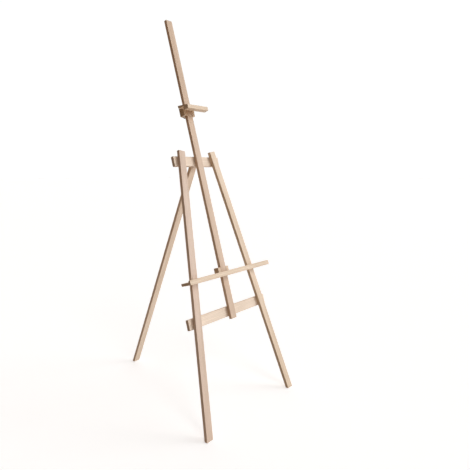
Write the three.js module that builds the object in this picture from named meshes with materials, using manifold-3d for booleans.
// Wooden artist easel: a leaning A-frame with a straight centre mast, a canvas
// shelf and a top canvas clamp that slide on the mast, and a hinged rear leg.
// Millimetres, +Z up. The easel faces -Y; the origin is on the floor, at the
// middle of the footprint of its three feet.
import * as THREE from 'three';
import { mergeVertices } from 'three/addons/utils/BufferGeometryUtils.js';
import Module from 'manifold-3d';

const wasm = await Module();
wasm.setup();

// ---------------------------------------------------------------- dimensions
const FRAME_LEAN = 16.3;            // degrees the front frame leans back
const LEG_SPLAY = 9.2;              // degrees each front leg splays in the frame
const REAR_SPREAD = 40;             // degrees between the frame and the rear leg

const GAP = 0.3;                    // clearance left between touching pieces
const BAR_WIDTH = 36;               // planed bar used for legs and mast
const BAR_THICK = 15;
const ARRIS = 2;                    // rounded long edges of the bars
const ARRIS_FACETS = 3;
const END_BEVEL = 1;                // softened sawn ends

const FOOT_HALF_SPREAD = 292;       // centre line of a front leg at the floor
const LEG_TOP = 1200;               // heights measured along the leaning frame
const LEG_OVERRUN = 30;             // sawn off again by the floor plane
const REAR_LEG_RISE = 60;           // above the pin, before its top is bevelled
const MAST_BOTTOM = 424;
const MAST_LENGTH = 1400;

const RAIL_HEIGHT = 45;             // flat rails behind the legs
const RAIL_THICK = 15;
const LOWER_RAIL_LENGTH = 520;
const LOWER_RAIL_CENTRE = 459.5;
const UPPER_RAIL_LENGTH = 290;
const UPPER_RAIL_CENTRE = 1155.5;
const CROSSING_SCREW_RISE = 11;     // the two screws of a crossing sit diagonally
const CROSSING_SCREW_SIDE = 8;

const SHELF_LENGTH = 536;
const SHELF_DEPTH = 55;
const SHELF_BOARD = 12;             // thickness of the board of the shelf
const SHELF_LIP_HEIGHT = 21;
const SHELF_LIP_THICK = 10;
const SHELF_CORNER = 6;             // rounding of the shelf's ends, seen from the front
const SHELF_CORNER_FACETS = 6;
const SHELF_UNDERSIDE = 620.5;
const BOARD_BEVEL = 0.6;            // softened ends of the shelf and the jaw

const JAW_LENGTH = 130;
const JAW_DEPTH = 60;
const JAW_TOP = 1407;               // top of the jaw where it meets the mast
const JAW_BACK_HEIGHT = 12;
const JAW_FRONT_DROP = 13;          // fall of the top face from back to front
const JAW_UNDERSIDE_FALL = 3;
const JAW_LIP_BOTTOM = 31.5;        // lip's lower edge below the top of the jaw
const JAW_LIP_THICK = 26;
const JAW_CORNER = 1.5;             // worn corners of the lip

const COLLAR_WIDTH = 68;            // notched block that hugs the mast
const COLLAR_HEIGHT = 40;
const COLLAR_BACK = 12;             // wall behind the mast
const SHELF_SCREW_EDGE = 6;         // screw height from the end at the board
const CLAMP_SCREW_EDGE = 8;
const COLLAR_STUD_EDGE = 24.5;      // clamping stud height from the same end

const STUD_RADIUS = 3;
const STUD_LENGTH = 24;
const STUD_CHAMFER = 0.8;
const INSERT_RADIUS = 5;
const INSERT_LENGTH = 10;
const KNOB_RADIUS = 15;
const KNOB_LOBE = 1.8;
const KNOB_LOBES = 5;
const KNOB_THICK = 11;
const KNOB_BEVEL = 1.5;
const KNOB_NECK_RADIUS = 7;
const KNOB_NECK = 2.5;
const KNOB_OVERLAP = 1;             // neck runs this far into the knob's head
const KNOB_STEPS = 8;               // facets round each lobe
const KNOB_CLEAR = 0.8;             // knob neck stands off the collar

const HINGE_LENGTH = 34;
const HINGE_LEAF = 13;              // pin axis to the outer edge of a leaf
const HINGE_PLATE = 1.5;
const HINGE_BARREL = 2.5;           // radius of the knuckles
const HINGE_KNUCKLES = 5;
const PIN_RADIUS = 1.2;
const PIN_HEAD = 2.2;
const PIN_HEAD_THICK = 1;
const PIN_HEAD_CLEAR = 0.1;         // between a pin head and the end knuckle
const HINGE_PIN_HEIGHT = 1146.5;
const HINGE_PITCH = HINGE_LENGTH / HINGE_KNUCKLES;
const LEAF_SCREW_SIDE = 10;
const LEAF_SCREW_REACH = 7.6;       // pin axis to the leaf screws
const LEAF_SCREW_SINK = 0.1;        // leaf screws sit this far under the plate's face

const RAIL_SCREW = { radius: 2, head: 4, headHeight: 2.4, length: 26 };
const LEAF_SCREW = { radius: 1.5, head: 2.7, headHeight: 1.3, length: 12 };
const COLLAR_SCREW = { radius: 2, head: 4, headHeight: 2.4, length: 46 };
const SCREW_TIP = 3;
const SCREW_SINK = 0.3;             // heads sit a little under the surface
const SCREW_RIM = 0.3;              // straight edge of a countersunk head
const SCREW_POINT = 0.4;
const HOLE_OVERRUN = 1;             // clearance holes run this far past a face
const ROUND = 14;                   // facets round small turned parts
const WELD_DISTANCE = 1e-4;

// Cutting blocks, only large enough to reach past what they cut.
const FLOOR_TOOL_WIDTH = 3000;
const FLOOR_TOOL_DEPTH = 400;
const STOP_TOOL_WIDTH = 200;
const STOP_TOOL_HEIGHT = 400;
const STOP_TOOL_RISE = 100;         // middle of the block above the pin

// ------------------------------------------------------------------- colours
const BEECH = 0xd9b491;
const BEECH_PALE = 0xe3c3a2;
const BEECH_ROSE = 0xcfa684;
const STEEL = 0xb9bcc0;
const STEEL_DARK = 0x9a9da1;
const BRASS = 0xc2a25a;
const BLACK_PLASTIC = 0x1f2022;

const radians = (degrees) => THREE.MathUtils.degToRad(degrees);

// -------------------------------------------------------------------- groups
const easel = new THREE.Group();
easel.name = 'wooden_artist_easel';

const RAIL_FRONT = BAR_THICK + GAP;
const RAIL_BACK = RAIL_FRONT + RAIL_THICK;
const PIN_OFFSET = HINGE_BARREL + GAP;      // pin axis to either wooden face

// Floor distance from the front feet's front edge to the rear foot's back edge.
function footprintDepth() {
  const lean = radians(FRAME_LEAN);
  const rearLean = radians(REAR_SPREAD - FRAME_LEAN);
  const pinBack = RAIL_BACK + PIN_OFFSET;
  const pinY = pinBack * Math.cos(lean) + HINGE_PIN_HEIGHT * Math.sin(lean);
  const pinZ = HINGE_PIN_HEIGHT * Math.cos(lean) - pinBack * Math.sin(lean);
  const legBack = (PIN_OFFSET + BAR_THICK) / Math.cos(rearLean);
  return pinY + pinZ * Math.tan(rearLean) + legBack;
}

// Inside the leaning frame x runs across, z up along the mast and y rearwards
// from the front faces of the legs.
const frame = new THREE.Group();
frame.name = 'front_frame';
frame.position.y = -footprintDepth() / 2;
frame.rotation.x = -radians(FRAME_LEAN);
easel.add(frame);

// Local axes of the rear leg: z up along the leg from the hinge pin, y away
// from the frame.
const rear = new THREE.Group();
rear.name = 'rear_leg_group';
rear.position.set(0, RAIL_BACK + PIN_OFFSET, HINGE_PIN_HEIGHT);
rear.rotation.x = radians(REAR_SPREAD);
frame.add(rear);

// ------------------------------------------------------------------- helpers
// Colour, roughness and metalness of each finish.
const slots = {
  beech: [BEECH, 0.55, 0],
  beech_pale: [BEECH_PALE, 0.55, 0],
  beech_rose: [BEECH_ROSE, 0.55, 0],
  zinc: [STEEL, 0.35, 0.9],
  pin_steel: [STEEL_DARK, 0.3, 0.95],
  brass: [BRASS, 0.3, 0.9],
  plastic: [BLACK_PLASTIC, 0.5, 0],
};

function makeNode(name, geometry, slot, parent) {
  const [color, roughness, metalness] = slots[slot];
  const material = new THREE.MeshStandardMaterial({ color, roughness, metalness });
  material.name = slot;
  const mesh = new THREE.Mesh(geometry, material);
  mesh.name = name;
  parent.add(mesh);
  return mesh;
}

function toManifold(geometry, matrix) {
  const bare = geometry.clone();
  bare.deleteAttribute('normal');
  bare.deleteAttribute('uv');
  bare.applyMatrix4(matrix);
  const merged = mergeVertices(bare, WELD_DISTANCE);
  return new wasm.Manifold(new wasm.Mesh({
    numProp: 3,
    vertProperties: new Float32Array(merged.attributes.position.array),
    triVerts: new Uint32Array(merged.index.array),
  }));
}

function toGeometry(solid) {
  const mesh = solid.getMesh();
  const geometry = new THREE.BufferGeometry();
  const positions = new Float32Array(mesh.vertProperties);
  geometry.setAttribute('position', new THREE.BufferAttribute(positions, 3));
  geometry.setIndex(new THREE.BufferAttribute(new Uint32Array(mesh.triVerts), 1));
  const flat = geometry.toNonIndexed();
  flat.computeVertexNormals();
  return flat;
}

// A tool is a bare shape placed in some group; it never becomes a node.
function makeTool(geometry, parent, place) {
  const tool = new THREE.Object3D();
  place(tool);
  tool.userData.geometry = geometry;
  tool.userData.parent = parent;
  return tool;
}

function toolMatrix(tool, mesh) {
  mesh.updateWorldMatrix(true, false);
  tool.userData.parent.updateWorldMatrix(true, false);
  tool.updateMatrix();
  return mesh.matrixWorld.clone().invert()
    .multiply(tool.userData.parent.matrixWorld)
    .multiply(tool.matrix);
}

function carve(mesh, tools) {
  let solid = toManifold(mesh.geometry, new THREE.Matrix4());
  for (const tool of tools) {
    solid = solid.subtract(toManifold(tool.userData.geometry, toolMatrix(tool, mesh)));
  }
  mesh.geometry = toGeometry(solid);
}

function joinShapes(geometries) {
  let solid = toManifold(geometries[0], new THREE.Matrix4());
  for (const geometry of geometries.slice(1)) {
    solid = solid.add(toManifold(geometry, new THREE.Matrix4()));
  }
  return toGeometry(solid);
}

function roundedRectangle(width, height, radius) {
  const shape = new THREE.Shape();
  const x = width / 2;
  const y = height / 2;
  shape.moveTo(x, -y + radius);
  shape.lineTo(x, y - radius);
  shape.absarc(x - radius, y - radius, radius, 0, Math.PI / 2, false);
  shape.lineTo(-x + radius, y);
  shape.absarc(-x + radius, y - radius, radius, Math.PI / 2, Math.PI, false);
  shape.lineTo(-x, -y + radius);
  shape.absarc(-x + radius, -y + radius, radius, Math.PI, Math.PI * 1.5, false);
  shape.lineTo(x - radius, -y);
  shape.absarc(x - radius, -y + radius, radius, Math.PI * 1.5, Math.PI * 2, false);
  return shape;
}

function polygon(points) {
  return new THREE.Shape(points.map(([x, y]) => new THREE.Vector2(x, y)));
}

// Keeps only the part of a mesh that lies inside a shape given in its own axes.
function trimTo(mesh, geometry) {
  const origin = new THREE.Matrix4();
  const kept = toManifold(mesh.geometry, origin).intersect(toManifold(geometry, origin));
  mesh.geometry = toGeometry(kept);
}

// Extrudes a section along +Z, its two ends softened by a small bevel that
// stays inside the outline and the length.
function extrudeBar(shape, length, bevel, curveSegments = ARRIS_FACETS) {
  const geometry = new THREE.ExtrudeGeometry(shape, {
    depth: length - 2 * bevel,
    bevelEnabled: bevel > 0,
    bevelThickness: bevel,
    bevelSize: bevel,
    bevelOffset: -bevel,
    bevelSegments: 1,
    curveSegments,
  });
  geometry.translate(0, 0, bevel);
  return geometry;
}

function turned(profile, facets = ROUND) {
  const points = profile.map(([radius, height]) => new THREE.Vector2(radius, height));
  const geometry = new THREE.LatheGeometry(points, facets);
  geometry.rotateX(Math.PI / 2);
  return geometry;
}

// Countersunk screw along +Z, its head's flat top at z = 0 and its tip ahead.
// A grown outline is the clearance hole, open past the head.
function screwProfile(size, grow) {
  const { radius, head, headHeight, length } = size;
  const top = grow > 0 ? -HOLE_OVERRUN : 0;
  return [
    [0, top],
    [head + grow, top],
    [head + grow, SCREW_RIM],
    [radius + grow, headHeight + SCREW_RIM],
    [radius + grow, length - SCREW_TIP + grow],
    [SCREW_POINT + grow, length + grow],
    [0, length + grow],
  ];
}

// Places a screw and returns the clearance hole that its neighbours need.
function addScrew(name, size, slot, parent, place) {
  const screw = makeNode(name, turned(screwProfile(size, 0)), slot, parent);
  place(screw);
  const hole = turned(screwProfile(size, GAP));
  return makeTool(hole, parent, place);
}

// ---------------------------------------------------------------- front legs
const legSlope = Math.tan(radians(LEG_SPLAY));
const legCentreAt = (height) => FOOT_HALF_SPREAD - height * legSlope;

function floorTool() {
  const slab = new THREE.BoxGeometry(FLOOR_TOOL_WIDTH, FLOOR_TOOL_WIDTH, FLOOR_TOOL_DEPTH);
  return makeTool(slab, easel, (tool) => tool.position.set(0, 0, -FLOOR_TOOL_DEPTH / 2));
}

function buildFrontLeg(side, name, slot) {
  const length = LEG_TOP / Math.cos(radians(LEG_SPLAY)) + LEG_OVERRUN;
  const shape = roundedRectangle(BAR_WIDTH, BAR_THICK, ARRIS);
  const geometry = extrudeBar(shape, length, END_BEVEL);
  geometry.translate(0, BAR_THICK / 2, -LEG_OVERRUN);
  const leg = makeNode(name, geometry, slot, frame);
  leg.position.set(side * FOOT_HALF_SPREAD, 0, 0);
  leg.rotation.y = -side * radians(LEG_SPLAY);
  return leg;
}

const legLeft = buildFrontLeg(-1, 'front_leg_left', 'beech_rose');
const legRight = buildFrontLeg(1, 'front_leg_right', 'beech');

// ---------------------------------------------------------------------- mast
function buildMast() {
  const shape = roundedRectangle(BAR_WIDTH, BAR_THICK, ARRIS);
  const geometry = extrudeBar(shape, MAST_LENGTH, END_BEVEL);
  geometry.translate(0, BAR_THICK / 2, 0);
  const mast = makeNode('mast', geometry, 'beech', frame);
  mast.position.z = MAST_BOTTOM;
  return mast;
}

const mast = buildMast();

// --------------------------------------------------------------------- rails
function buildRail(name, length, centre) {
  const shape = roundedRectangle(RAIL_THICK, RAIL_HEIGHT, ARRIS);
  const geometry = extrudeBar(shape, length, END_BEVEL);
  geometry.translate(0, 0, -length / 2);
  geometry.rotateY(Math.PI / 2);
  geometry.rotateX(Math.PI / 2);
  const rail = makeNode(name, geometry, 'beech_pale', frame);
  rail.position.set(0, RAIL_FRONT + RAIL_THICK / 2, centre);
  return rail;
}

const lowerRail = buildRail('lower_crossbar', LOWER_RAIL_LENGTH, LOWER_RAIL_CENTRE);
const upperRail = buildRail('upper_crossbar', UPPER_RAIL_LENGTH, UPPER_RAIL_CENTRE);

function railScrews(label, rail, bar, x, centre) {
  const holes = [];
  for (const [place, sign] of [['low', -1], ['high', 1]]) {
    holes.push(addScrew(`${label}_screw_${place}`, RAIL_SCREW, 'zinc', frame, (item) => {
      const height = centre + sign * CROSSING_SCREW_RISE;
      item.position.set(x(height) + sign * CROSSING_SCREW_SIDE, RAIL_BACK - SCREW_SINK, height);
      item.rotation.x = Math.PI / 2;
    }));
  }
  carve(rail, holes);
  return holes;
}

function fastenRail(label, rail, centre) {
  const left = railScrews(`${label}_left`, rail, legLeft, (h) => -legCentreAt(h), centre);
  const middle = railScrews(`${label}_mast`, rail, mast, () => 0, centre);
  const right = railScrews(`${label}_right`, rail, legRight, (h) => legCentreAt(h), centre);
  return { left, middle, right };
}

const lowerHoles = fastenRail('lower_crossbar', lowerRail, LOWER_RAIL_CENTRE);
const upperHoles = fastenRail('upper_crossbar', upperRail, UPPER_RAIL_CENTRE);

carve(legLeft, [floorTool(), ...lowerHoles.left, ...upperHoles.left]);
carve(legRight, [floorTool(), ...lowerHoles.right, ...upperHoles.right]);
carve(mast, [...lowerHoles.middle, ...upperHoles.middle]);

// ------------------------------------------------------- sliding mast collars
// A collar, its clamping knob and the board it carries share one group. The
// shelf stands upright on its collar; the clamp uses the same collar inverted.
function collarShape() {
  const side = COLLAR_WIDTH / 2;
  const slot = BAR_WIDTH / 2 + GAP;
  const slotBack = BAR_THICK + GAP;
  const back = slotBack + COLLAR_BACK;
  return polygon([
    [-side, 0], [-slot, 0], [-slot, slotBack], [slot, slotBack], [slot, 0], [side, 0],
    [side, back], [-side, back],
  ]);
}

const COLLAR_REAR = BAR_THICK + GAP + COLLAR_BACK;
const cheekCentre = (COLLAR_WIDTH / 2 + BAR_WIDTH / 2 + GAP) / 2;

function buildCollar(name, group) {
  return makeNode(name, extrudeBar(collarShape(), COLLAR_HEIGHT, END_BEVEL), 'beech', group);
}

function collarScrews(label, group, height) {
  return [['left', -1], ['right', 1]].map(([place, sign]) => (
    addScrew(`${label}_screw_${place}`, COLLAR_SCREW, 'zinc', group, (item) => {
      item.position.set(sign * cheekCentre, COLLAR_REAR - SCREW_SINK, height);
      item.rotation.x = Math.PI / 2;
    })
  ));
}

function knobOutline(grow) {
  const points = [];
  const steps = KNOB_LOBES * KNOB_STEPS;
  for (let i = 0; i < steps; i += 1) {
    const angle = (i / steps) * Math.PI * 2;
    const radius = KNOB_RADIUS - KNOB_LOBE + KNOB_LOBE * Math.cos(KNOB_LOBES * angle) + grow;
    points.push([radius * Math.cos(angle), radius * Math.sin(angle)]);
  }
  return polygon(points);
}

function buildKnob(label, group, height) {
  const knobGroup = new THREE.Group();
  knobGroup.name = `${label}_knob_group`;
  knobGroup.position.set(0, COLLAR_REAR, height);
  knobGroup.rotation.x = -Math.PI / 2;      // local z points rearwards
  group.add(knobGroup);

  const head = extrudeBar(knobOutline(0), KNOB_THICK, KNOB_BEVEL);
  head.translate(0, 0, KNOB_CLEAR + KNOB_NECK);
  const neckTop = KNOB_CLEAR + KNOB_NECK + KNOB_OVERLAP;
  const neck = turned([
    [0, KNOB_CLEAR], [KNOB_NECK_RADIUS, KNOB_CLEAR], [KNOB_NECK_RADIUS, neckTop], [0, neckTop],
  ]);
  const knob = makeNode(`${label}_knob`, joinShapes([head, neck]), 'plastic', knobGroup);

  const tip = -COLLAR_BACK + GAP;
  const end = tip + STUD_LENGTH;
  const studOutline = (grow) => [
    [0, tip - grow], [STUD_RADIUS - STUD_CHAMFER + grow, tip - grow],
    [STUD_RADIUS + grow, tip + STUD_CHAMFER], [STUD_RADIUS + grow, end + grow], [0, end + grow],
  ];
  makeNode(`${label}_knob_stud`, turned(studOutline(0)), 'zinc', knobGroup);
  const studTool = makeTool(turned(studOutline(GAP)), knobGroup, () => {});
  carve(knob, [studTool]);
}

// Threaded insert let into the rear wall of the collar from behind.
function buildInsert(label, group, height) {
  const bore = STUD_RADIUS + GAP;
  const outline = [
    [bore, -INSERT_LENGTH], [INSERT_RADIUS, -INSERT_LENGTH],
    [INSERT_RADIUS, -GAP], [bore, -GAP], [bore, -INSERT_LENGTH],
  ];
  const place = (item) => {
    item.position.set(0, COLLAR_REAR, height);
    item.rotation.x = -Math.PI / 2;
  };
  place(makeNode(`${label}_threaded_insert`, turned(outline), 'brass', group));
  const socket = turned([
    [0, -INSERT_LENGTH - GAP], [INSERT_RADIUS + GAP, -INSERT_LENGTH - GAP],
    [INSERT_RADIUS + GAP, HOLE_OVERRUN], [0, HOLE_OVERRUN],
  ]);
  const front = -COLLAR_BACK - HOLE_OVERRUN;
  const through = turned([[0, front], [bore, front], [bore, HOLE_OVERRUN], [0, HOLE_OVERRUN]]);
  return [makeTool(socket, group, place), makeTool(through, group, place)];
}

// --------------------------------------------------------------------- shelf
const shelfGroup = new THREE.Group();
shelfGroup.name = 'shelf_group';
shelfGroup.position.z = SHELF_UNDERSIDE;
frame.add(shelfGroup);

function buildShelf() {
  const front = -GAP - SHELF_DEPTH;
  const lipBack = front + SHELF_LIP_THICK;
  const r = ARRIS;
  const mid = r * (1 - Math.SQRT1_2);       // halfway round a corner
  const inner = r / 2;
  const shape = polygon([
    [-GAP, 0], [-GAP, SHELF_BOARD], [lipBack, SHELF_BOARD],
    [lipBack, SHELF_LIP_HEIGHT - inner], [lipBack - inner, SHELF_LIP_HEIGHT],
    [front + r, SHELF_LIP_HEIGHT], [front + mid, SHELF_LIP_HEIGHT - mid],
    [front, SHELF_LIP_HEIGHT - r], [front, r], [front + mid, mid], [front + r, 0],
  ]);
  const geometry = extrudeBar(shape, SHELF_LENGTH, BOARD_BEVEL);
  geometry.translate(0, 0, -SHELF_LENGTH / 2);
  geometry.rotateX(Math.PI / 2);
  geometry.rotateZ(Math.PI / 2);
  const made = makeNode('canvas_shelf', geometry, 'beech', shelfGroup);
  const outline = roundedRectangle(SHELF_LENGTH, SHELF_LIP_HEIGHT, SHELF_CORNER);
  const silhouette = extrudeBar(outline, 2 * SHELF_DEPTH, 0, SHELF_CORNER_FACETS);
  silhouette.rotateX(Math.PI / 2);
  silhouette.translate(0, 0, SHELF_LIP_HEIGHT / 2);
  trimTo(made, silhouette);
  return made;
}

const shelf = buildShelf();
const shelfCollar = buildCollar('shelf_collar', shelfGroup);
const shelfHoles = collarScrews('shelf_collar', shelfGroup, SHELF_SCREW_EDGE);
const shelfInsertTools = buildInsert('shelf', shelfGroup, COLLAR_STUD_EDGE);
buildKnob('shelf', shelfGroup, COLLAR_STUD_EDGE);
carve(shelf, shelfHoles);
carve(shelfCollar, [...shelfHoles, ...shelfInsertTools]);

// --------------------------------------------------------------------- clamp
const clampGroup = new THREE.Group();
clampGroup.name = 'clamp_group';
clampGroup.position.z = JAW_TOP;
frame.add(clampGroup);

function buildJaw() {
  const front = -GAP - JAW_DEPTH;
  const lipBack = front + JAW_LIP_THICK;
  const under = -JAW_BACK_HEIGHT;
  const shape = polygon([
    [-GAP, 0], [-GAP, under], [lipBack, under - JAW_UNDERSIDE_FALL],
    [lipBack, -JAW_LIP_BOTTOM + JAW_CORNER], [lipBack - JAW_CORNER, -JAW_LIP_BOTTOM],
    [front + JAW_CORNER, -JAW_LIP_BOTTOM], [front, -JAW_LIP_BOTTOM + JAW_CORNER],
    [front, -JAW_FRONT_DROP - JAW_CORNER], [front + JAW_CORNER, -JAW_FRONT_DROP],
  ].reverse());
  const geometry = extrudeBar(shape, JAW_LENGTH, BOARD_BEVEL);
  geometry.translate(0, 0, -JAW_LENGTH / 2);
  geometry.rotateX(Math.PI / 2);
  geometry.rotateZ(Math.PI / 2);
  return makeNode('canvas_clamp_jaw', geometry, 'beech_pale', clampGroup);
}

const jaw = buildJaw();
const clampCollar = buildCollar('clamp_collar', clampGroup);
clampCollar.position.z = -COLLAR_HEIGHT;
const clampHoles = collarScrews('clamp_collar', clampGroup, -CLAMP_SCREW_EDGE);
const clampInsertTools = buildInsert('clamp', clampGroup, -COLLAR_STUD_EDGE);
buildKnob('clamp', clampGroup, -COLLAR_STUD_EDGE);
carve(jaw, clampHoles);
carve(clampCollar, [...clampHoles, ...clampInsertTools]);

// --------------------------------------------------------------------- hinge
// Knuckles are counted from the left. Each leaf lies flat on its own timber,
// its plate below the pin axis and its knuckles round it.
const knucklePlace = (i) => (i - (HINGE_KNUCKLES - 1) / 2) * HINGE_PITCH;

function buildLeaf(name, parent, ownKnuckles, side) {
  const face = side * PIN_OFFSET - side * GAP;          // plate's wooden side
  const inner = face - side * HINGE_PLATE;
  const plate = new THREE.BoxGeometry(HINGE_LENGTH, HINGE_PLATE, HINGE_LEAF);
  plate.translate(0, (face + inner) / 2, -HINGE_LEAF / 2);
  const shapes = [plate];
  for (const i of ownKnuckles) {
    const length = HINGE_PITCH - GAP;
    const knuckle = new THREE.CylinderGeometry(HINGE_BARREL, HINGE_BARREL, length, ROUND);
    knuckle.rotateZ(Math.PI / 2);
    knuckle.translate(knucklePlace(i), 0, 0);
    shapes.push(knuckle);
  }
  return makeNode(name, joinShapes(shapes), 'zinc', parent);
}

const pinGroup = new THREE.Group();
pinGroup.name = 'hinge_fixed_group';
pinGroup.position.copy(rear.position);
frame.add(pinGroup);

const fixedKnuckles = [0, 2, 4];
const movingKnuckles = [1, 3];
const fixedLeaf = buildLeaf('hinge_leaf_crossbar', pinGroup, fixedKnuckles, -1);
const movingLeaf = buildLeaf('hinge_leaf_rear_leg', rear, movingKnuckles, 1);

// A leaf is relieved where the other leaf's knuckles turn.
function reliefTools(parent, otherKnuckles) {
  return otherKnuckles.map((i) => {
    const radius = HINGE_BARREL + GAP;
    const relief = new THREE.CylinderGeometry(radius, radius, HINGE_PITCH + GAP, ROUND);
    relief.rotateZ(Math.PI / 2);
    return makeTool(relief, parent, (tool) => {
      tool.position.x = knucklePlace(i);
    });
  });
}

function pinBore(parent) {
  const bore = new THREE.CylinderGeometry(
    PIN_RADIUS + GAP, PIN_RADIUS + GAP, HINGE_LENGTH + 2 * HOLE_OVERRUN, ROUND,
  );
  bore.rotateZ(Math.PI / 2);
  return makeTool(bore, parent, () => {});
}

function buildPin() {
  const half = HINGE_LENGTH / 2;
  const shank = half + PIN_HEAD_CLEAR;
  const outline = [
    [0, -half - PIN_HEAD_THICK], [PIN_HEAD, -half - PIN_HEAD_THICK], [PIN_HEAD, -shank],
    [PIN_RADIUS, -shank], [PIN_RADIUS, shank],
    [PIN_HEAD, shank], [PIN_HEAD, half + PIN_HEAD_THICK], [0, half + PIN_HEAD_THICK],
  ];
  const geometry = turned(outline);
  geometry.rotateY(Math.PI / 2);
  return makeNode('hinge_pin', geometry, 'pin_steel', pinGroup);
}

buildPin();

function leafScrews(label, parent, side) {
  return [['left', -1], ['right', 1]].map(([place, sign]) => (
    addScrew(`${label}_screw_${place}`, LEAF_SCREW, 'zinc', parent, (item) => {
      const face = side * (PIN_OFFSET - GAP - HINGE_PLATE);
      item.position.set(sign * LEAF_SCREW_SIDE, face + side * LEAF_SCREW_SINK, -LEAF_SCREW_REACH);
      item.rotation.x = -side * Math.PI / 2;
    })
  ));
}

const fixedScrews = leafScrews('hinge_crossbar', pinGroup, -1);
const movingScrews = leafScrews('hinge_rear_leg', rear, 1);
carve(fixedLeaf, [pinBore(pinGroup), ...reliefTools(pinGroup, movingKnuckles), ...fixedScrews]);
carve(movingLeaf, [pinBore(rear), ...reliefTools(rear, fixedKnuckles), ...movingScrews]);
carve(upperRail, fixedScrews);

// ------------------------------------------------------------------ rear leg
// The top end is bevelled to lie against the upper crossbar when the leg is
// fully open, which is what stops it opening further.
function buildRearLeg() {
  const drop = HINGE_PIN_HEIGHT / Math.cos(radians(REAR_SPREAD - FRAME_LEAN)) + LEG_OVERRUN;
  const shape = roundedRectangle(BAR_WIDTH, BAR_THICK, ARRIS);
  const geometry = extrudeBar(shape, drop + REAR_LEG_RISE, 0);
  geometry.translate(0, PIN_OFFSET + BAR_THICK / 2, -drop);
  const leg = makeNode('rear_leg', geometry, 'beech', rear);
  const block = new THREE.BoxGeometry(STOP_TOOL_WIDTH, STOP_TOOL_WIDTH, STOP_TOOL_HEIGHT);
  const stop = makeTool(block, frame, (tool) => {
    const back = RAIL_BACK + GAP;
    tool.position.set(0, back - STOP_TOOL_WIDTH / 2, HINGE_PIN_HEIGHT + STOP_TOOL_RISE);
  });
  carve(leg, [floorTool(), stop, ...movingScrews]);
  return leg;
}

buildRearLeg();

export default easel;
